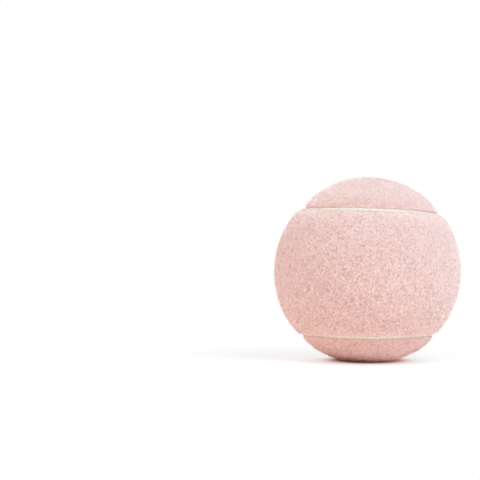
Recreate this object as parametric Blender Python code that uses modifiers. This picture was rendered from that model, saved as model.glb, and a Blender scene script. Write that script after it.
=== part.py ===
"""Felt-covered dog ball: a hollow rubber core in two bonded half-shells, two dumbbell felt panels
wrapped round it, and the cement seam that fills the channel between the panels.

Metres, +Z up, origin at the ball's centre. The front panel's waist faces -Y and its lobes lie at
-X and +X. The back panel's waist faces +Y and its lobes are the top and the bottom of the ball.
"""

import math

import bmesh
import bpy
from mathutils import Matrix, Vector

# Driving dimensions
BALL_DIAMETER = 0.065  # over the felt
FELT_THICKNESS = 0.0032
EDGE_ROUNDING = 0.0045  # width of the rounded edge of a felt panel
EDGE_DROP = 0.0012  # how far the felt's face falls at that edge
SEAM_WIDTH = 0.0012
SEAM_RECESS = 0.0013  # from the felt's face down to the seam's crown
SEAM_CROWN = 0.0002  # how far the seam's middle stands above its sides
CORE_WALL = 0.0036
RIM_CHAMFER = 0.0008  # on both corners of a half-shell's rim
BOND_THICKNESS = 0.0006
BOND_BEAD = 0.0009  # how far the squeezed-out bead stands into the hollow
CLEARANCE = 0.0003  # between any two pieces

# How the felt was laid, and how the ball lies
SEAM_DRAW_IN = math.radians(1.35)  # how far the seam bows in towards a panel's waist
LOBE_SKEW = math.radians(2.2)  # skew of the top lobe, fading out to the bottom of the ball
LIE_TILT = math.radians(1.0)
LIE_ROLL = math.radians(-0.1)

# Facets
ARC_STEPS = 20  # along each of the seam's four arcs
EDGE_STEPS = 5  # across a panel's rounded edge
FACE_STEPS = 4  # from there to the panel's spine
SEAM_STEPS = 4  # across the seam
TURN_STEPS = 40  # round the core
PROFILE_STEPS = 10  # along a half-shell's quarter circle
BEAD_STEPS = 6

# Fits
BALL_RADIUS = BALL_DIAMETER / 2
FELT_BACK_RADIUS = BALL_RADIUS - FELT_THICKNESS
CORE_RADIUS = FELT_BACK_RADIUS - CLEARANCE
HOLLOW_RADIUS = CORE_RADIUS - CORE_WALL
SEAM_HEIGHT = FELT_THICKNESS - SEAM_RECESS
SEAM_HALF_ANGLE = SEAM_WIDTH / 2 / FELT_BACK_RADIUS
EDGE_ANGLE = SEAM_HALF_ANGLE + CLEARANCE / FELT_BACK_RADIUS
RIM_HEIGHT = BOND_THICKNESS / 2 + CLEARANCE
WELD = CLEARANCE / 100

FRONT, BACK = 0, 1
LOBE_CENTRE = Vector((0, 0, 1))


def clear_scene():
    for thing in list(bpy.data.objects):
        bpy.data.objects.remove(thing)


def finish(name, colour, roughness):
    """A plain non-metal material."""
    material = bpy.data.materials.new(name)
    material.use_nodes = True
    shader = material.node_tree.nodes["Principled BSDF"]
    shader.inputs["Base Color"].default_value = (*colour, 1)
    shader.inputs["Roughness"].default_value = roughness
    shader.inputs["Metallic"].default_value = 0
    return material


def add_part(name, mesh, material, collection, parent):
    mesh.materials.append(material)
    part = bpy.data.objects.new(name, mesh)
    part.parent = parent
    collection.objects.link(part)
    return part


def quarter_turn(point, times):
    """The seam's own symmetry: a quarter turn about Y with front and back swapped."""
    for _ in range(times):
        point = Vector((point.z, -point.y, -point.x))
    return point


def arc_point(azimuth):
    """A point on the seam's front upper arc, which bows in from 45 degrees towards the waist."""
    c = math.cos(azimuth)
    latitude = math.pi / 4 - SEAM_DRAW_IN * (3 * c - 2 * c**3)
    return Vector((
        math.cos(latitude) * math.sin(azimuth),
        -math.cos(latitude) * math.cos(azimuth),
        math.sin(latitude),
    ))


def waist_point(azimuth):
    return Vector((math.sin(azimuth), -math.cos(azimuth), 0))


def skewed(point):
    """The point after the top lobe's skew."""
    share = (point.z + 1) / 2
    share = share * share * (3 - 2 * share)
    return Matrix.Rotation(LOBE_SKEW * share, 3, "Y") @ point


def stations():
    """(arc number, azimuth) once round the seam."""
    sweep = [math.pi * i / ARC_STEPS - math.pi / 2 for i in range(ARC_STEPS)]
    return [(arc, azimuth) for arc in range(4) for azimuth in sweep]


def seam_line(offset):
    """Unit vectors once round the seam, moved sideways by an angle towards the front panel."""
    line = [skewed(quarter_turn(arc_point(azimuth), arc)) for arc, azimuth in stations()]
    moved = []
    for i, point in enumerate(line):
        along = line[(i + 1) % len(line)] - line[i - 1]
        side = along.cross(point).normalized()
        moved.append(point * math.cos(offset) + side * math.sin(offset))
    return moved


def spine_line(panel):
    """The point of a panel's spine that each station of the seam faces: along the waist, each
    seam point has its own, and round a lobe they all share the lobe's centre."""
    return [
        skewed(quarter_turn(waist_point(azimuth) if arc % 2 == panel else LOBE_CENTRE, arc))
        for arc, azimuth in stations()
    ]


def loft(name, rings, heights):
    """An open mesh of quads between closed rings, with each ring's height as a vertex weight."""
    bm = bmesh.new()
    weight = bm.verts.layers.deform.verify()
    rows = []
    for ring, height in zip(rings, heights):
        row = [bm.verts.new(point) for point in ring]
        for vert in row:
            vert[weight][0] = height
        rows.append(row)
    for outer, inner in zip(rows, rows[1:]):
        for i in range(len(outer)):
            bm.faces.new((outer[i - 1], inner[i - 1], inner[i], outer[i]))
    bmesh.ops.remove_doubles(bm, verts=bm.verts, dist=WELD)
    mesh = bpy.data.meshes.new(name)
    bm.to_mesh(mesh)
    bm.free()
    mesh.shade_smooth()
    return mesh


def thicken(part, thickness):
    """Grows the open surface outward, by each point's share of the thickness."""
    part.vertex_groups.new(name="height")
    solid = part.modifiers.new("thickness", "SOLIDIFY")
    solid.thickness = thickness
    solid.offset = 1
    solid.vertex_group = "height"


def felt_panel(name, panel, material, collection, parent):
    """A dumbbell blank of felt on the core, with its face rounded off towards the seam."""
    edge = seam_line(EDGE_ANGLE if panel == FRONT else -EDGE_ANGLE)
    spine = spine_line(panel)
    if panel == BACK:
        edge.reverse()
        spine.reverse()

    insets, heights = [], []
    for i in range(EDGE_STEPS + 1):
        turn = math.pi / 2 * i / EDGE_STEPS
        insets.append(EDGE_ROUNDING / BALL_RADIUS * (1 - math.cos(turn)))
        heights.append(1 - EDGE_DROP / FELT_THICKNESS * (1 - math.sin(turn)))

    rings = [[a.slerp(b, inset / a.angle(b)) for a, b in zip(edge, spine)] for inset in insets]
    crown = rings[-1]
    for i in range(1, FACE_STEPS + 1):
        rings.append([a.slerp(b, i / FACE_STEPS) for a, b in zip(crown, spine)])
        heights.append(1)

    on_core = [[point * FELT_BACK_RADIUS for point in ring] for ring in rings]
    part = add_part(name, loft(name, on_core, heights), material, collection, parent)
    thicken(part, FELT_THICKNESS)


def seam_strip(name, material, collection, parent):
    """The cement loop, crowned across its width."""
    rings, heights = [], []
    for i in range(SEAM_STEPS + 1):
        across = 1 - 2 * i / SEAM_STEPS
        ring = seam_line(-across * SEAM_HALF_ANGLE)
        rings.append([point * FELT_BACK_RADIUS for point in ring])
        heights.append(1 - SEAM_CROWN / SEAM_HEIGHT * across**2)
    part = add_part(name, loft(name, rings, heights), material, collection, parent)
    thicken(part, SEAM_HEIGHT)


def quarter_circle(radius, lowest):
    """Profile points from the pole down to a height above the parting plane."""
    end = math.acos(lowest / radius)
    turns = [end * i / PROFILE_STEPS for i in range(PROFILE_STEPS + 1)]
    return [(radius * math.sin(turn), radius * math.cos(turn)) for turn in turns]


def half_shell_profile():
    """From the outer pole down to the chamfered rim and back up the hollow."""
    chamfer_top = RIM_HEIGHT + RIM_CHAMFER
    rim = [(CORE_RADIUS - RIM_CHAMFER, RIM_HEIGHT), (HOLLOW_RADIUS + RIM_CHAMFER, RIM_HEIGHT)]
    hollow = quarter_circle(HOLLOW_RADIUS, chamfer_top)
    return quarter_circle(CORE_RADIUS, chamfer_top) + rim + hollow[::-1]


def bond_ring_profile():
    """A thin web between the rims that fills the chamfers and swells into a bead inside."""
    half = BOND_THICKNESS / 2
    reach = RIM_CHAMFER - CLEARANCE * math.tan(math.pi / 8)
    flare = half + reach
    bead = []
    for i in range(BEAD_STEPS + 1):
        turn = math.pi * i / BEAD_STEPS
        bead.append((HOLLOW_RADIUS - BOND_BEAD * math.sin(turn), -flare * math.cos(turn)))
    outer = [(CORE_RADIUS, flare), (CORE_RADIUS, -flare), (CORE_RADIUS - reach, -half)]
    return outer + [(HOLLOW_RADIUS + reach, -half)] + bead + [
        (HOLLOW_RADIUS + reach, half),
        (CORE_RADIUS - reach, half),
    ]


def turned(name, profile, closed, material, collection, parent):
    """A profile in the XZ plane turned about Z."""
    mesh = bpy.data.meshes.new(name)
    edges = [(i, i + 1) for i in range(len(profile) - 1)]
    if closed:
        edges.append((len(profile) - 1, 0))
    mesh.from_pydata([(x, 0, z) for x, z in profile], edges, [])
    part = add_part(name, mesh, material, collection, parent)
    screw = part.modifiers.new("turn", "SCREW")
    screw.steps = TURN_STEPS
    screw.render_steps = TURN_STEPS
    screw.use_merge_vertices = True
    screw.merge_threshold = WELD
    screw.use_smooth_shade = True
    return part


def main():
    clear_scene()
    ball = bpy.data.collections.new("dog_ball")
    bpy.context.scene.collection.children.link(ball)
    lie = bpy.data.objects.new("ball_lie", None)
    lie.rotation_euler = (LIE_TILT, LIE_ROLL, 0)
    ball.objects.link(lie)

    rubber = finish("core_rubber", (0.045, 0.042, 0.04), 0.7)
    cement = finish("core_cement", (0.30, 0.21, 0.12), 0.5)
    felt = finish("pink_felt", (0.75, 0.47, 0.44), 0.95)
    seam = finish("seam_cement", (0.83, 0.68, 0.55), 0.6)

    turned("core_half_shell_upper", half_shell_profile(), False, rubber, ball, lie)
    lower = turned("core_half_shell_lower", half_shell_profile(), False, rubber, ball, lie)
    lower.rotation_euler.x = math.pi
    turned("core_bond_ring", bond_ring_profile(), True, cement, ball, lie)
    felt_panel("felt_panel_front", FRONT, felt, ball, lie)
    felt_panel("felt_panel_back", BACK, felt, ball, lie)
    seam_strip("seam_strip", seam, ball, lie)


main()
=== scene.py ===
"""The looks of a felt-covered dog ball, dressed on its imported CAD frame.

Each felt panel is a thick matted sheet with a nap of separate fibres, and the seam is a ribbon of
cream cement. Metres, +Z up, origin at the ball's centre, camera in front along -Y.
"""

import math

import bpy
import numpy as np
from mathutils import Euler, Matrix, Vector, noise

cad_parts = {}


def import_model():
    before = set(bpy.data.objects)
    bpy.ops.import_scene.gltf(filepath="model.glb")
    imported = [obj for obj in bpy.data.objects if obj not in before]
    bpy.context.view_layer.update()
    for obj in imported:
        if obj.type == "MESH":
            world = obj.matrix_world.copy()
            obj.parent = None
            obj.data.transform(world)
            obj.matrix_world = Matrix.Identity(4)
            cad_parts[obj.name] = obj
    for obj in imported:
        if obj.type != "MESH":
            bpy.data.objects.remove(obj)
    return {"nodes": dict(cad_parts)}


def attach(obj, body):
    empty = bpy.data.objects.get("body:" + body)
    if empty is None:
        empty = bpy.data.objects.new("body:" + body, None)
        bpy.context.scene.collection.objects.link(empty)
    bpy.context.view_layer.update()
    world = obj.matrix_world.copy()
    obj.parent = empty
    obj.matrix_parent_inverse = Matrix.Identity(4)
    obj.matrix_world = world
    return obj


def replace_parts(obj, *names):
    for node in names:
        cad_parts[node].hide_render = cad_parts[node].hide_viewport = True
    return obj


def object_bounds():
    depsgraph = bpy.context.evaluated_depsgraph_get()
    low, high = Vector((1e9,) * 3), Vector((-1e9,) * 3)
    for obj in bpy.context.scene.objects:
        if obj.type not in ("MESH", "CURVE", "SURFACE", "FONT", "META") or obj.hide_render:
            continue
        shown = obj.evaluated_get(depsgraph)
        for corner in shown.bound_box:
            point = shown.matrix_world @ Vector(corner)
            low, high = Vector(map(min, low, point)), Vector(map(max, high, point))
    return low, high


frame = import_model()
CAD_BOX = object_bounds()
MM = 0.001

# Sizes that the CAD model has too
BALL_RADIUS = (CAD_BOX[1][0] - CAD_BOX[0][0]) / 2
FELT_THICKNESS = 3.2 * MM
FELT_BACK_RADIUS = BALL_RADIUS - FELT_THICKNESS
SEAM_WIDTH = 1.2 * MM
SEAM_CROWN = 0.2 * MM
SEAM_DRAW_IN = math.radians(1.35)
LOBE_SKEW = math.radians(2.2)

# How the ball lies: its seam a little more level than in the CAD model, its felt pressed flat below
LIE_TILT = math.radians(0.3)
LIE_ROLL = math.radians(-0.1)
LIE = np.array(Euler((LIE_TILT, LIE_ROLL, 0)).to_matrix())
SETTLE = 1.05 * MM  # how far the felt gives under the ball's weight
FLOOR = CAD_BOX[0][2] + SETTLE
FELT_LIFT = 0.03 * MM  # of the pressed felt above the floor
FIBRE_LIFT = 0.01 * MM  # of the pressed fibres above the floor

# Felt panels. A pair of values is for the front and the back panel.
FRONT, BACK = 0, 1
NAP_HEIGHT = 0.33 * MM  # room that the fibres need above the matted sheet
EDGE_ROLL = 6.5 * MM  # how wide a panel's face rolls off towards the seam
EDGE_DROP = (1.35 * MM, 1.15 * MM)  # how far it falls there
DROP_MIDDLE = 0.92  # share of that drop half-way up the ball
DROP_UP = 0.35  # how much this share grows towards the top
DROP_SIDES = 0.7  # how much of the drop is lost at the ball's left and right
ROLL_MIDDLE = 3  # how tight the roll-off is half-way up the ball
ROLL_UP = 1.4  # how much less tight it gets towards the top
EDGE_LIP = 0.15 * MM  # rounding of the cut edge itself
EDGE_BACK = 0.05 * MM  # how far the cut edge stands back from the seam
EDGE_WAVER = ((6 * MM, 0.24 * MM), (2 * MM, 0.18 * MM))  # (wavelength, reach) of its waver
RELIEF = [  # (wavelength, height) of the felt's unevenness
    (18 * MM, 0.12 * MM),
    (4.5 * MM, 0.07 * MM),
    (1.2 * MM, 0.025 * MM),
    (0.6 * MM, 0.025 * MM),
]
CALM_EDGE = 1.2 * MM  # this close to the edge the felt is less uneven
CALM_SHARE = 0.35  # and at the edge it keeps this share
DENTS = [  # (direction, angular size, depth) of the places that are flattened or swollen
    ((-0.60, -0.05, 0.80), math.radians(14), 0.55 * MM),
    ((-0.96, -0.05, 0.28), math.radians(28), 0.28 * MM),
    ((-0.87, -0.05, 0.50), math.radians(9), 0.15 * MM),
    ((0.05, -0.05, 1.0), math.radians(14), -0.2 * MM),
    ((0.60, -0.05, -0.80), math.radians(10), -0.35 * MM),
    ((0.84, -0.05, 0.55), math.radians(6), -0.35 * MM),
]
WAIST_STEPS, LOBE_STEPS = 288, 128  # along each arc of the seam
EDGE_STEPS, FACE_STEPS, RIM_STEPS, BACK_STEPS = 22, 52, 4, 6

# Seam
STRAYS = [  # (direction, angular size, reach) of places where the seam strays to the front panel
    ((0.77, -0.10, 0.64), math.radians(24), 0.9 * MM),
    ((-0.69, -0.10, 0.72), math.radians(18), 0.6 * MM),
    ((0.70, -0.10, -0.71), math.radians(22), -0.5 * MM),
    ((-0.70, -0.10, -0.71), math.radians(22), -0.3 * MM),
    ((0.78, 0.0, 0.62), math.radians(14), 0.9 * MM),
    ((-0.71, 0.0, 0.70), math.radians(14), 0.5 * MM),
    ((0.71, 0.0, -0.70), math.radians(14), 0.8 * MM),
    ((-0.71, 0.0, -0.70), math.radians(14), 0.4 * MM),
    ((0.78, 0.03, 0.62), math.radians(9), 1.2 * MM),
    ((0.76, 0.32, 0.57), math.radians(15), 1.0 * MM),
    ((0.71, 0.03, -0.70), math.radians(9), 0.5 * MM),
]
SEAM_RISE = 0.28 * MM  # of its crown above the front panel's edge, in front and at the back
SEAM_SINK = 0.8 * MM  # how far the crown sinks from there to the ball's left and right
SEAM_DIPS = [((0.72, -0.30, 0.62), math.radians(18), 0.15 * MM)]  # (direction, angular size, depth)
SEAM_LAP = (0.15 * MM, 0.08 * MM)  # how far the cement reaches past its even width onto each panel
SEAM_LUMPS = (1.5 * MM, 0.06 * MM)  # (wavelength, height)
SEAM_RINGS = 9  # across its face
TANGENT_STEP = 0.001  # of azimuth, in radians

# Nap
FIBRES = 39900  # in each layer of nap
LAYERS = 3  # of nap on each panel
FIBRE_LENGTH = (0.5 * MM, 1.1 * MM)
FIBRE_WIDTH = (0.045 * MM, 0.085 * MM)
FIBRE_TAPER = (0.8, 1.0, 0.85)  # share of the width at the root and after each third
FIBRE_CURL = 1.8  # most turn along a fibre, in radians
FIBRE_ROLL = 0.6  # most twist about its own line, in radians
FIBRE_SINK = 0.06 * MM  # of its root into the felt
FIBRE_ARCH = (0.02 * MM, 0.16 * MM)
FIBRE_TIP = (-0.06 * MM, 0.2 * MM)  # height of a lying fibre's tip
LOOSE_SHARE = 0.2  # of the fibres stand off the felt
LOOSE_TIP = 0.2 * MM  # least height of a loose fibre's tip
FLYAWAY = 0.75 * MM  # how much higher the wildest of them reach
FLYAWAY_POWER = 1.3  # above 1, low ones are more frequent
SHORT_EDGE = 1.6 * MM  # this close to a panel's edge the fibres are shorter
SHORT_SHARE = 0.3  # and at the edge they keep at least this share of their length
SHORT_SIDES = 1.5  # how fast that share grows towards the ball's left and right
NAP_BIAS = 0.4  # how much the fibres favour lying up and down the ball

# Colours of the felt
FELT_DEEP = (0.58, 0.34, 0.32)
FELT_MID = (0.72, 0.49, 0.47)
FELT_PALE = (0.86, 0.67, 0.65)
FIBRE_SHADES = {
    "fibre_deep": (0.48, 0.27, 0.265),
    "fibre_mid": (0.85, 0.66, 0.64),
    "fibre_light": (1.0, 0.83, 0.81),
    "fibre_pale": (1.0, 0.95, 0.94),
}
FIBRE_SHARES = (0.19, 0.29, 0.3, 0.22)  # of the fibres in each shade
CLUMP_SIZE = 0.5 * MM  # how far across fibres of one shade keep together
CLUMPING = 8.5  # how strongly they do
PAINTED_LIT_SIDE = (0.50, -0.20, 0.85)  # near the key lamp's direction, in which they do so least: painted light that washes the grain out on the lit side
PAINTED_LIT_SHARE = 0.6  # of the clumping is lost there
PAINTED_LIT_START, PAINTED_LIT_SPAN = 0.3, 0.6  # cosine of the angle from there over which the loss sets in
LOOSE_PAINTED_PALER = 1.0  # how much paler loose fibres are, painted light that makes the fuzzy rims pale

# Colours of the cement and the core
CEMENT_DULL = (0.745, 0.685, 0.60)
CEMENT_BRIGHT = (0.845, 0.815, 0.735)
EVERY = 10  # a reach so long that its axis doesn't count
SEAM_PAINTED_TINTS = [  # (centre, reach along each axis, tint) of the places where the cement is painted darker: less red towards the bottom, as painted shade against the floor's red glow, and darker along the upper seam and at three of its ends
    ((0, 0, -0.024), (EVERY, EVERY, 0.040), (0.91, 1.0, 1.0)),
    ((0, 0, 0.024), (0.030, EVERY, 0.030), (0.955, 0.965, 0.955)),
    ((0.020, 0, 0.021), (0.014, EVERY, 0.012), (0.95, 0.89, 0.90)),
    ((0.018, 0, -0.022), (0.013, EVERY, 0.012), (0.95, 0.87, 0.905)),
    ((-0.0225, 0, -0.022), (0.010, EVERY, 0.012), (0.955, 0.89, 0.915)),
]
PAINTED_TINT_START = 0.3  # share of the reach up to which a tint is full
RUBBER_DARK, RUBBER_LIGHT = (0.035, 0.033, 0.032), (0.06, 0.056, 0.052)
BOND_DARK, BOND_LIGHT = (0.24, 0.16, 0.09), (0.36, 0.26, 0.16)

# Floor as the ball meets it. Each START is the share of a reach where a fade begins.
FLOOR_SIZE = 6
TABLE_COLOUR = (0.80, 0.76, 0.73)
PAINTED_UNDER_SHADE = (0.46, 0.08, 0.05)  # painted shade close under the ball: a dark red floor that darkens and reddens the light bounced onto its underside
LEFT_GLOW = (0.43, 0.21, 0.15)
RIGHT_GLOW = (0.51, 0.33, 0.29)
SIDE_CENTRE = (-0.06, 0, FLOOR)  # the glow turns from left to right away from here
SIDE_REACH, SIDE_START = (0.10, EVERY, 1), 0.5
GLOW_CENTRE = (-0.0036, -0.001, FLOOR)  # the floor is pale and glows away from here
GLOW_REACH, GLOW_START = (0.0149, 0.0162, 1), 0.65

# Floor as the camera sees it, with a painted contact shadow
CONTACT_CENTRE = (0.0, 0.0040, FLOOR)  # the painted shadow is deepest near here
CONTACT_REACH, CONTACT_START = (0.0216, 0.0238, 1), 0.35
# painted shade: the floor's colour is darkest where the ball meets it
PAINTED_CONTACT_SHADE = (0.10, 0.02, 0.012)
SHADOW_COLOUR = (0.22, 0.22, 0.22)
PAINTED_SHADOW_HAZE = [  # (share of the contact's reach, glow) of a painted shadow that fills in from dark at the contact to pale further out
    (0.30, (0.01, 0.0, 0.0)),
    (0.45, (0.18, 0.055, 0.04)),
    (0.54, (0.41, 0.21, 0.18)),
    (0.64, (0.63, 0.47, 0.42)),
    (0.75, (0.725, 0.66, 0.63)),
    (0.85, (0.725, 0.71, 0.70)),
    (1.0, (0.72, 0.72, 0.72)),
]
SHADOW_CENTRE = (-0.010, 0.0355, FLOOR)  # the shadow gives way to plain white away from here
SHADOW_REACH, SHADOW_START = (0.068, 0.044, 1), 0.55
FOOT_REACH, FOOT_START = (0.030, 0.0262, 1), 0.65  # and nowhere this close to the contact's centre

# Light: a tent whose level changes across and up, and lamps
TENT_LEVEL = (0.305, 0.245, 0.238)
TENT_SLOPES = {"X": (-0.345, -0.19, -0.105), "Z": (0.71, 0.74, 0.74)}
LAMP_SIZE = 0.8
LAMPS = {  # place, level and colour
    "key": ((0.43, -0.50, 0.77), 0.57, (0.895, 1.055, 1.08)),
    "back": ((0.05, 0.60, 0.80), 0.235, (0.97, 1.0, 1.04)),
}

# Camera, from the photograph's frame of 480 by 480 pixels
FRAME_PIXELS = 480
FOCAL_PIXELS = 1710
HORIZON_ROW = 221
BALL_CENTRE_PIXEL = (367.0, 270.85)
BALL_RADIUS_PIXELS = 93.35
SENSOR = 36


def unit(v):
    return v / np.linalg.norm(v, axis=-1, keepdims=True)


def slerp(a, b, share):
    angle = np.arccos(np.clip((a * b).sum(1), -1, 1))[:, None]
    share = np.broadcast_to(np.asarray(share, float), (len(a),))[:, None]
    return (np.sin((1 - share) * angle) * a + np.sin(share * angle) * b) / np.sin(angle)


def wavy(points, wavelength):
    """Smooth noise from -1 to 1 at each point."""
    return np.array([noise.noise(Vector(p)) for p in points / wavelength])


def spread(points, places):
    """The sum of smooth bumps of (direction, angular size, height) at each unit vector."""
    total = np.zeros(len(points))
    for direction, size, height in places:
        away = np.arccos(np.clip(points @ unit(np.array(direction)), -1, 1))
        total += height * np.exp(-((away / size) ** 2))
    return total


def vertex_places(mesh):
    places = np.empty(len(mesh.vertices) * 3)
    mesh.vertices.foreach_get("co", places)
    return places.reshape(-1, 3)


def quarter_turn(points, times):
    """The seam's own symmetry: a quarter turn about Y with front and back swapped."""
    for _ in range(times):
        points = np.stack([points[:, 2], -points[:, 1], -points[:, 0]], 1)
    return points


def arc_points(azimuth):
    """Points on the seam's front upper arc, which bows in from 45 degrees towards the waist."""
    c = np.cos(azimuth)
    latitude = math.pi / 4 - SEAM_DRAW_IN * (3 * c - 2 * c**3)
    flat = np.cos(latitude)
    return np.stack([flat * np.sin(azimuth), -flat * c, np.sin(latitude)], 1)


def laid(points):
    """Unit vectors after the top lobe's skew and the ball's lie."""
    share = np.clip((points[:, 2] + 1) / 2, 0, 1)
    turn = LOBE_SKEW * share * share * (3 - 2 * share)
    c, s = np.cos(turn), np.sin(turn)
    x, y, z = points.T
    return np.stack([x * c + z * s, y, z * c - x * s], 1) @ LIE.T


def round_seam(steps, make):
    """make(arc number, azimuths) for each of the seam's four arcs, joined into one loop."""
    sweeps = [np.linspace(-math.pi / 2, math.pi / 2, n, endpoint=False) for n in steps]
    return np.concatenate([make(arc, sweep) for arc, sweep in enumerate(sweeps)])


def seam_line(steps):
    """(points, sideways directions towards the front panel) once round the seam."""
    step = TANGENT_STEP

    def even(arc, azimuth):
        return laid(quarter_turn(arc_points(azimuth), arc))

    def at(arc, azimuth):
        points = even(arc, azimuth)
        side = unit(np.cross(even(arc, azimuth + step) - even(arc, azimuth - step), points))
        return unit(points + side * (spread(points, STRAYS) / BALL_RADIUS)[:, None])

    points = round_seam(steps, at)
    along = round_seam(steps, lambda arc, a: at(arc, a + step) - at(arc, a - step))
    return points, unit(np.cross(along, points))


def spine_line(steps, panel):
    """The point of a panel's spine that each seam point faces."""

    def at(arc, azimuth):
        waist = np.stack([np.sin(azimuth), -np.cos(azimuth), 0 * azimuth], 1)
        lobe = np.tile([0.0, 0.0, 1.0], (len(azimuth), 1))
        return laid(quarter_turn(waist if arc % 2 == panel else lobe, arc))

    return round_seam(steps, at)


def lip_drop(seam, panel):
    """How far a panel's face falls off to its edge: most along the top arc, least at the bottom
    and at the sides."""
    height_share = DROP_MIDDLE + DROP_UP * seam[:, 2]
    return EDGE_DROP[panel] * height_share * (1 - DROP_SIDES * seam[:, 0] ** 2)


def half_width(seam, panel):
    """Half the seam's width on one panel's side, which wavers along the seam."""
    waver = [reach * wavy(seam * BALL_RADIUS + panel, length) for length, reach in EDGE_WAVER]
    return SEAM_WIDTH / 2 + sum(waver)


def loft(name, rings, closed=False):
    """A mesh of faces between closed rings of points, with shared points welded and a bake map.
    Returns it with the number of the ring point that each vertex comes from."""
    count, size = len(rings), len(rings[0])
    flat = np.concatenate(rings)
    _, first, weld = np.unique(np.round(flat, 8), axis=0, return_index=True, return_inverse=True)
    weld = weld.reshape(count, size)
    faces, places = [], []
    for j in range(count if closed else count - 1):
        k = (j + 1) % count
        for i in range(size):
            ring = [weld[j, i - 1], weld[k, i - 1], weld[k, i], weld[j, i]]
            place = [(i, j), (i, j + 1), (i + 1, j + 1), (i + 1, j)]
            kept = [n for n in range(4) if ring[n] != ring[n - 1]]
            faces.append([int(ring[n]) for n in kept])
            places += [(place[n][0] / size, place[n][1] / count) for n in kept]
    mesh = bpy.data.meshes.new(name)
    mesh.from_pydata(flat[first].tolist(), [], faces)
    uv = mesh.uv_layers.new(name="OFBake")
    uv.uv.foreach_set("vector", np.array(places, np.float32).ravel())
    mesh.shade_smooth()
    return mesh, first


def add_piece(name, mesh, materials):
    piece = bpy.data.objects.new(name, mesh)
    bpy.context.scene.collection.objects.link(piece)
    for material in materials:
        mesh.materials.append(material)
    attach(piece, "root")
    return piece


def felt_panel(name, panel, material):
    """The matted sheet of one panel: its back on the core, its rim along the seam and its
    rounded, uneven face. Returns the piece and how far each vertex of the face lies from the
    panel's edge, with -1 for the others."""
    steps = [WAIST_STEPS if arc % 2 == panel else LOBE_STEPS for arc in range(4)]
    seam, side = seam_line(steps)
    spine = spine_line(steps, panel)
    if panel == BACK:
        side = -side
        seam, side, spine = seam[::-1], side[::-1], spine[::-1]

    offset = ((half_width(seam, panel) + EDGE_BACK) / FELT_BACK_RADIUS)[:, None]
    edge = seam * np.cos(offset) + side * np.sin(offset)
    width = np.arccos(np.clip((edge * spine).sum(1), -1, 1))

    # Directions of the rings, from the edge to the spine
    insets = [EDGE_ROLL * i / EDGE_STEPS for i in range(EDGE_STEPS + 1)]
    face = [slerp(edge, spine, inset / BALL_RADIUS / width) for inset in insets]
    crown = face[-1]
    face += [slerp(crown, spine, i / FACE_STEPS) for i in range(1, FACE_STEPS + 1)]
    insets += [EDGE_ROLL] * FACE_STEPS
    back = [slerp(edge, spine, 1 - i / BACK_STEPS) for i in range(BACK_STEPS + 1)]

    # Rings from the middle of the back, over the rim, to the middle of the face
    face_radius = BALL_RADIUS - NAP_HEIGHT
    lip = lip_drop(seam, panel)
    tightness = ROLL_MIDDLE - ROLL_UP * seam[:, 2]
    rings = [ring * FELT_BACK_RADIUS for ring in back]
    for i in range(1, RIM_STEPS):
        rim = FELT_BACK_RADIUS + (face_radius - lip - EDGE_LIP - FELT_BACK_RADIUS) * i / RIM_STEPS
        rings.append(edge * rim[:, None])
    backing = len(rings)
    for ring, inset in zip(face, insets):
        drop = lip * (1 - inset / EDGE_ROLL) ** tightness + EDGE_LIP * (inset == 0)
        rings.append(ring * (face_radius - drop)[:, None])

    # Unevenness of the face, and the flat where the ball rests
    mesh, first = loft(name, rings)
    ring_of = first // len(seam)
    on_face = ring_of >= backing
    inset = np.array([0.0] * backing + insets)[ring_of]
    points = vertex_places(mesh)
    out = unit(points)
    rise = sum(height * wavy(out * BALL_RADIUS, length) for length, height in RELIEF)
    rise *= np.clip(inset / CALM_EDGE, CALM_SHARE, 1)
    points = points + out * ((rise - spread(out, DENTS)) * on_face)[:, None]
    points[:, 2] = np.maximum(points[:, 2], FLOOR + FELT_LIFT)
    mesh.vertices.foreach_set("co", points.ravel())
    mesh.update()
    return add_piece(name, mesh, [material]), np.where(on_face, inset, -1.0)


def fibre_roots(mesh, inset, rng):
    """Random places on the face of a panel, spread by area, and how far each is from the edge."""
    mesh.calc_loop_triangles()
    corners = np.empty(len(mesh.loop_triangles) * 3, np.int32)
    mesh.loop_triangles.foreach_get("vertices", corners)
    corners = corners.reshape(-1, 3)
    corners = corners[(inset[corners] >= 0).all(1)]
    points = vertex_places(mesh)
    a, b, c = (points[corners[:, k]] for k in range(3))
    area = np.linalg.norm(np.cross(b - a, c - a), axis=1)
    pick = rng.choice(len(area), FIBRES, p=area / area.sum())
    u, v = rng.random((2, FIBRES, 1))
    flip = u + v > 1
    u, v = np.where(flip, 1 - u, u), np.where(flip, 1 - v, v)
    places = a[pick] + u * (b[pick] - a[pick]) + v * (c[pick] - a[pick])
    return places, inset[corners[pick]].min(1)


def fibre_shade(up, places, loose, rng):
    """The number of each fibre's shade. Fibres of one shade keep together in small clumps, which
    fade towards the key lamp as painted light.
    """
    cosine = up @ unit(np.array(PAINTED_LIT_SIDE))
    smooth = np.clip((cosine - PAINTED_LIT_START) / PAINTED_LIT_SPAN, 0, 1)
    # painted light: the clumping weakens on the side facing the key lamp
    clumps = CLUMPING * (1 - PAINTED_LIT_SHARE * smooth) * wavy(places, CLUMP_SIZE)
    # loose fibres are painted paler, as painted light on the fuzzy rim
    tone = clumps + rng.normal(size=FIBRES) + LOOSE_PAINTED_PALER * loose
    steps = np.quantile(tone, np.cumsum(FIBRE_SHARES)[:-1])
    return np.searchsorted(steps, tone)


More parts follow.
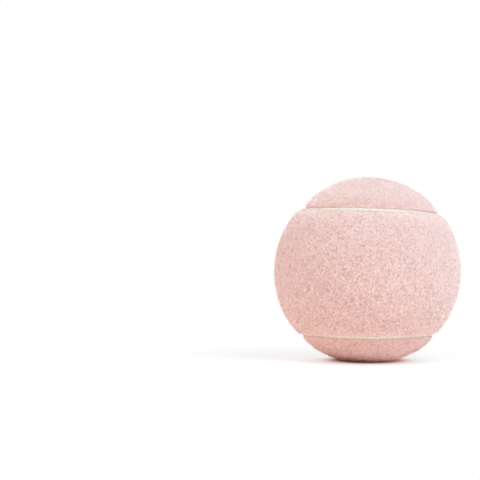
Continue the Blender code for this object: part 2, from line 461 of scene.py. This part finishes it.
def nap(name, felt, inset, materials, seed):
    """One layer of nap: narrow, tapering, curved fibres lying every way on the felt."""
    rng = np.random.default_rng(seed)
    roots, away = fibre_roots(felt.data, inset, rng)
    up = unit(roots)
    radius = np.linalg.norm(roots, axis=1)
    heading = rng.normal(size=(FIBRES, 3))
    heading[:, 2] += NAP_BIAS * np.sign(heading[:, 2])
    east = unit(heading - up * (heading * up).sum(1, keepdims=True))
    north = np.cross(up, east)

    shortest = np.clip(SHORT_SIDES * up[:, 0] ** 2, SHORT_SHARE, 1)
    length = rng.uniform(*FIBRE_LENGTH, FIBRES) * np.clip(away / SHORT_EDGE, shortest, 1)
    curl = rng.uniform(-FIBRE_CURL, FIBRE_CURL, FIBRES)
    loose = rng.random(FIBRES) < LOOSE_SHARE
    tip = rng.uniform(*FIBRE_TIP, FIBRES)
    tip = np.where(loose, LOOSE_TIP + FLYAWAY * rng.random(FIBRES) ** FLYAWAY_POWER, tip)
    arch = rng.uniform(*FIBRE_ARCH, FIBRES)

    path = []
    for t in (0, 1 / 3, 2 / 3, 1):
        x = length * t * np.cos(curl * t / 2)
        y = length * t * np.sin(curl * t / 2)
        height = arch * 4 * t * (1 - t) + tip * t**2 - FIBRE_SINK * (1 - t) ** 3
        spot = unit(roots + east * x[:, None] + north * y[:, None])
        path.append(spot * (radius + height)[:, None])

    roll = rng.uniform(-FIBRE_ROLL, FIBRE_ROLL, FIBRES)[:, None]
    half = rng.uniform(*FIBRE_WIDTH, FIBRES)[:, None] / 2
    rows = []
    for k, share in enumerate(FIBRE_TAPER):
        across = unit(np.cross(path[k + 1] - path[k], up))
        spoke = (across * np.cos(roll) + up * np.sin(roll)) * half * share
        rows += [path[k] - spoke, path[k] + spoke]
    points = np.stack([*rows, path[3]], 1)
    points[..., 2] = np.maximum(points[..., 2], FLOOR + FIBRE_LIFT)
    shade = fibre_shade(up, path[1], loose, rng)

    # Two quads and a pointed tip for each fibre's seven points
    faces = [(0, 1, 3, 2), (2, 3, 5, 4), (4, 5, 6)]
    sizes = np.array([len(f) for f in faces], np.int32)
    corners = np.concatenate([np.array(f, np.int32) for f in faces])
    firsts = points.shape[1] * np.arange(FIBRES, dtype=np.int32)
    corners = (corners[None] + firsts[:, None]).ravel()
    starts = np.concatenate([[0], np.cumsum(np.tile(sizes, FIBRES))[:-1]]).astype(np.int32)

    mesh = bpy.data.meshes.new(name)
    mesh.vertices.add(points.shape[0] * points.shape[1])
    mesh.vertices.foreach_set("co", points.ravel())
    mesh.loops.add(len(corners))
    mesh.loops.foreach_set("vertex_index", corners)
    mesh.polygons.add(len(starts))
    mesh.polygons.foreach_set("loop_start", starts)
    mesh.polygons.foreach_set("material_index", np.repeat(shade, len(faces)).astype(np.int32))
    mesh.update(calc_edges=True)
    mesh.shade_smooth()
    return add_piece(name, mesh, materials)


def seam_strip(name, material):
    """The cement ribbon: a crowned, slightly lumpy face between two low walls."""
    seam, side = seam_line([WAIST_STEPS] * 4)
    widths = [half_width(seam, panel) + SEAM_LAP[panel] for panel in (FRONT, BACK)]
    half = [width / FELT_BACK_RADIUS for width in widths]
    rise = SEAM_RISE - SEAM_SINK * seam[:, 0] ** 2 - spread(seam, SEAM_DIPS)
    crown = BALL_RADIUS - NAP_HEIGHT - lip_drop(seam, FRONT) + rise - spread(seam, DENTS)
    lump_length, lump_height = SEAM_LUMPS

    def ring(across, radius):
        offset = (across * half[FRONT if across > 0 else BACK])[:, None]
        points = seam * np.cos(offset) + side * np.sin(offset)
        return points * np.broadcast_to(radius, len(seam))[:, None]

    rings = [ring(-1, FELT_BACK_RADIUS)]
    for across in np.linspace(-1, 1, SEAM_RINGS):
        lumps = lump_height * wavy(ring(across, BALL_RADIUS), lump_length)
        rings.append(ring(across, crown - SEAM_CROWN * across**2 + lumps))
    rings.append(ring(1, FELT_BACK_RADIUS))
    mesh, _ = loft(name, rings, closed=True)
    return add_piece(name, mesh, [material])


def add_node(nodes, kind, operation=None, **inputs):
    """A new node with its inputs set by name; an input named after its number starts with _."""
    made = nodes.new(kind)
    if operation:
        made.operation = operation
    for name, value in inputs.items():
        key = int(name[1:]) if name[0] == "_" else name.replace("_", " ")
        made.inputs[key].default_value = value
    return made


def add_noise(nodes, links, wavelength, detail):
    place = nodes.new("ShaderNodeTexCoord")
    texture = add_node(nodes, "ShaderNodeTexNoise", Scale=1 / wavelength, Detail=detail)
    links.new(place.outputs["Object"], texture.inputs["Vector"])
    return texture.outputs["Fac"]


def add_ramp(nodes, links, value, stops):
    ramp = nodes.new("ShaderNodeValToRGB")
    elements = ramp.color_ramp.elements
    while len(elements) < len(stops):
        elements.new(0.5)
    for element, (position, colour) in zip(elements, stops):
        element.position = position
        element.color = (*colour, 1)
    links.new(value, ramp.inputs["Fac"])
    return ramp.outputs["Color"]


def add_bump(nodes, links, shader, height, distance, strength):
    bump = add_node(nodes, "ShaderNodeBump", Distance=distance, Strength=strength)
    links.new(height, bump.inputs["Height"])
    links.new(bump.outputs["Normal"], shader.inputs["Normal"])


def add_distance(nodes, links, centre, reach):
    """The distance from a centre, where 1 is a reach along each axis."""
    place = nodes.new("ShaderNodeNewGeometry")
    apart = add_node(nodes, "ShaderNodeVectorMath", "SUBTRACT", _1=centre)
    shares = add_node(nodes, "ShaderNodeVectorMath", "DIVIDE", _1=reach)
    far = add_node(nodes, "ShaderNodeVectorMath", "LENGTH")
    links.new(place.outputs["Position"], apart.inputs[0])
    links.new(apart.outputs["Vector"], shares.inputs[0])
    links.new(shares.outputs["Vector"], far.inputs[0])
    return far.outputs["Value"]


def add_fade(nodes, links, centre, reach, start):
    """0 near a centre, rising from a share of the reach to 1 at the reach along each axis."""
    fade = add_node(nodes, "ShaderNodeMapRange", From_Min=start)
    fade.interpolation_type = "SMOOTHSTEP"
    links.new(add_distance(nodes, links, centre, reach), fade.inputs["Value"])
    return fade.outputs["Result"]


def add_mix(nodes, links, share, first, second):
    mix = nodes.new("ShaderNodeMixShader")
    links.new(share, mix.inputs["Fac"])
    links.new(first.outputs[0], mix.inputs[1])
    links.new(second.outputs[0], mix.inputs[2])
    return mix


def add_sum(nodes, links, first, second):
    total = nodes.new("ShaderNodeAddShader")
    links.new(first.outputs[0], total.inputs[0])
    links.new(second.outputs[0], total.inputs[1])
    return total


def add_seen(nodes, links):
    """1 for a ray that sees a surface, straight or reflected, and 0 for one that lights it."""
    path = nodes.new("ShaderNodeLightPath")
    share = path.outputs["Is Camera Ray"]
    for kind in ("Is Glossy Ray", "Is Transmission Ray"):
        add = add_node(nodes, "ShaderNodeMath", "ADD")
        add.use_clamp = True
        links.new(share, add.inputs[0])
        links.new(path.outputs[kind], add.inputs[1])
        share = add.outputs[0]
    return share


def new_material(name, roughness, sheen=0.0):
    material = bpy.data.materials.new(name)
    material.use_nodes = True
    shader = material.node_tree.nodes["Principled BSDF"]
    shader.inputs["Roughness"].default_value = roughness
    shader.inputs["Specular IOR Level"].default_value = 0.2
    shader.inputs["Sheen Weight"].default_value = sheen
    shader.inputs["Sheen Roughness"].default_value = 0.7
    shader.inputs["Sheen Tint"].default_value = (1, 0.96, 0.95, 1)
    return material, material.node_tree.nodes, material.node_tree.links, shader


def felt_material():
    material, nodes, links, shader = new_material("felt", 0.95, sheen=1.0)
    speckle = add_noise(nodes, links, 0.5 * MM, 2)
    colour = add_ramp(nodes, links, speckle, [(0.3, FELT_DEEP), (0.5, FELT_MID), (0.7, FELT_PALE)])
    links.new(colour, shader.inputs["Base Color"])
    add_bump(nodes, links, shader, add_noise(nodes, links, 0.3 * MM, 2), 0.1 * MM, 0.6)
    return material


def fibre_materials():
    made = []
    for name, colour in FIBRE_SHADES.items():
        material, nodes, links, shader = new_material(name, 0.85, sheen=1.0)
        shader.inputs["Base Color"].default_value = (*colour, 1)
        links.new(add_noise(nodes, links, 0.4 * MM, 2), shader.inputs["Roughness"])
        made.append(material)
    return made


def seam_material():
    material, nodes, links, shader = new_material("seam_cement", 0.6)
    mottle = add_noise(nodes, links, 1.4 * MM, 3)
    colour = add_ramp(nodes, links, mottle, [(0.3, CEMENT_DULL), (0.7, CEMENT_BRIGHT)])
    # painted tints: the cement less red towards the bottom, as painted shade, and darker along the
    # upper seam and at its ends
    for centre, reach, tint in SEAM_PAINTED_TINTS:
        fade = add_fade(nodes, links, centre, reach, PAINTED_TINT_START)
        both = add_node(nodes, "ShaderNodeVectorMath", "MULTIPLY")
        links.new(colour, both.inputs[0])
        links.new(add_ramp(nodes, links, fade, [(0, tint), (1, (1, 1, 1))]), both.inputs[1])
        colour = both.outputs["Vector"]
    links.new(colour, shader.inputs["Base Color"])
    add_bump(nodes, links, shader, add_noise(nodes, links, 0.5 * MM, 3), 0.08 * MM, 0.4)
    return material


def core_material(name, dark, light, roughness):
    material, nodes, links, shader = new_material(name, roughness)
    mottle = add_noise(nodes, links, 3 * MM, 4)
    colour = add_ramp(nodes, links, mottle, [(0.3, dark), (0.7, light)])
    links.new(colour, shader.inputs["Base Color"])
    add_bump(nodes, links, shader, add_noise(nodes, links, 0.4 * MM, 2), 0.05 * MM, 0.5)
    return material


def dress_core():
    rubber = core_material("core_rubber", RUBBER_DARK, RUBBER_LIGHT, 0.7)
    cement = core_material("core_cement", BOND_DARK, BOND_LIGHT, 0.5)
    dressed = {
        "core_half_shell_upper": rubber,
        "core_half_shell_lower": rubber,
        "core_bond_ring": cement,
    }
    for node, material in dressed.items():
        for slot in frame["nodes"][node].material_slots:
            slot.material = material


def met_floor(nodes, links):
    """A pale table that glows a little, except close under the ball, where it is painted dark red
    as painted shade.
    """
    under = add_node(nodes, "ShaderNodeBsdfDiffuse", Color=(*PAINTED_UNDER_SHADE, 1))
    bounce = add_node(nodes, "ShaderNodeBsdfDiffuse", Color=(*TABLE_COLOUR, 1))
    left = add_node(nodes, "ShaderNodeEmission", Color=(*LEFT_GLOW, 1))
    right = add_node(nodes, "ShaderNodeEmission", Color=(*RIGHT_GLOW, 1))
    side = add_fade(nodes, links, SIDE_CENTRE, SIDE_REACH, SIDE_START)
    lit = add_sum(nodes, links, bounce, add_mix(nodes, links, side, left, right))
    clear = add_fade(nodes, links, GLOW_CENTRE, GLOW_REACH, GLOW_START)
    return add_mix(nodes, links, clear, under, lit)


def seen_floor(nodes, links):
    """A soft shadow, partly cast and partly painted: a dark painted colour and a glowing painted
    haze make it deepest at the contact, and it is plain white beyond it.
    """
    dark = add_node(nodes, "ShaderNodeBsdfDiffuse", Color=(*PAINTED_CONTACT_SHADE, 1))
    pale = add_node(nodes, "ShaderNodeBsdfDiffuse", Color=(*SHADOW_COLOUR, 1))
    depth = add_fade(nodes, links, CONTACT_CENTRE, CONTACT_REACH, CONTACT_START)
    haze = nodes.new("ShaderNodeEmission")
    apart = add_distance(nodes, links, CONTACT_CENTRE, CONTACT_REACH)
    links.new(add_ramp(nodes, links, apart, PAINTED_SHADOW_HAZE), haze.inputs["Color"])
    shadow = add_sum(nodes, links, add_mix(nodes, links, depth, dark, pale), haze)
    white = nodes.new("ShaderNodeEmission")
    away = add_node(nodes, "ShaderNodeMath", "MULTIPLY")
    links.new(add_fade(nodes, links, SHADOW_CENTRE, SHADOW_REACH, SHADOW_START), away.inputs[0])
    links.new(add_fade(nodes, links, CONTACT_CENTRE, FOOT_REACH, FOOT_START), away.inputs[1])
    return add_mix(nodes, links, away.outputs[0], shadow, white)


def floor():
    bpy.ops.mesh.primitive_plane_add(size=FLOOR_SIZE, location=(0, 0, FLOOR))
    plane = bpy.context.object
    plane.name = "floor"
    material = bpy.data.materials.new("floor")
    material.use_nodes = True
    nodes, links = material.node_tree.nodes, material.node_tree.links
    nodes.remove(nodes["Principled BSDF"])
    met, seen = met_floor(nodes, links), seen_floor(nodes, links)
    either = add_mix(nodes, links, add_seen(nodes, links), met, seen)
    links.new(either.outputs[0], nodes["Material Output"].inputs["Surface"])
    plane.data.materials.append(material)


def world():
    """White to the camera; to everything else a soft tent of light that changes across and up."""
    made = bpy.data.worlds.new("studio")
    bpy.context.scene.world = made
    made.use_nodes = True
    nodes, links = made.node_tree.nodes, made.node_tree.links
    towards = nodes.new("ShaderNodeTexCoord")
    parts = nodes.new("ShaderNodeSeparateXYZ")
    links.new(towards.outputs["Generated"], parts.inputs[0])
    red, green, blue = TENT_LEVEL
    tent = add_node(nodes, "ShaderNodeCombineXYZ", X=red, Y=green, Z=blue).outputs[0]
    for axis, slope in TENT_SLOPES.items():
        add = add_node(nodes, "ShaderNodeVectorMath", "MULTIPLY_ADD", _1=slope)
        links.new(parts.outputs[axis], add.inputs[0])
        links.new(tent, add.inputs[2])
        tent = add.outputs[0]
    positive = add_node(nodes, "ShaderNodeVectorMath", "MAXIMUM", _1=(0, 0, 0))
    links.new(tent, positive.inputs[0])
    seen = add_node(nodes, "ShaderNodeMix", _7=(1, 1, 1, 1))
    seen.data_type = "RGBA"
    links.new(add_seen(nodes, links), seen.inputs["Factor"])
    links.new(positive.outputs[0], seen.inputs[6])
    links.new(seen.outputs[2], nodes["Background"].inputs["Color"])


def softbox(name, place, level, colour):
    """An area lamp aimed at the ball; level 1 lights a white card facing it at the ball to 1."""
    lamp = bpy.data.lights.new(name, "AREA")
    lamp.shape = "DISK"
    lamp.size = LAMP_SIZE
    lamp.color = colour
    place = Vector(place)
    lamp.energy = level * math.pi**2 * place.length_squared
    thing = bpy.data.objects.new(name, lamp)
    thing.location = place
    thing.rotation_euler = (-place).to_track_quat("-Z", "Y").to_euler()
    bpy.context.scene.collection.objects.link(thing)


def camera():
    made = bpy.data.cameras.new("camera")
    made.sensor_width = SENSOR
    made.lens = SENSOR * FOCAL_PIXELS / FRAME_PIXELS
    thing = bpy.data.objects.new("camera", made)
    pixel = BALL_RADIUS / BALL_RADIUS_PIXELS
    middle = FRAME_PIXELS / 2
    thing.location = (
        (middle - BALL_CENTRE_PIXEL[0]) * pixel,
        -FOCAL_PIXELS * pixel,
        (BALL_CENTRE_PIXEL[1] - HORIZON_ROW) * pixel,
    )
    down = math.atan((middle - HORIZON_ROW) / FOCAL_PIXELS)
    thing.rotation_euler = (math.pi / 2 - down, 0, 0)
    bpy.context.scene.collection.objects.link(thing)
    bpy.context.scene.camera = thing


def main():
    felt, fibres = felt_material(), fibre_materials()
    for panel, side in ((FRONT, "front"), (BACK, "back")):
        node = f"felt_panel_{side}"
        sheet, inset = felt_panel(f"felt_sheet_{side}", panel, felt)
        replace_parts(sheet, node)
        naps = [
            nap(f"felt_nap_{side}_{layer + 1}", sheet, inset, fibres, 10 * panel + layer)
            for layer in range(LAYERS)
        ]
    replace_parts(seam_strip("seam_ribbon", seam_material()), "seam_strip")
    dress_core()

    camera()
    floor()
    world()
    for name, (place, level, colour) in LAMPS.items():
        softbox(name, place, level, colour)
    bpy.context.scene.view_settings.view_transform = "Standard"


main()
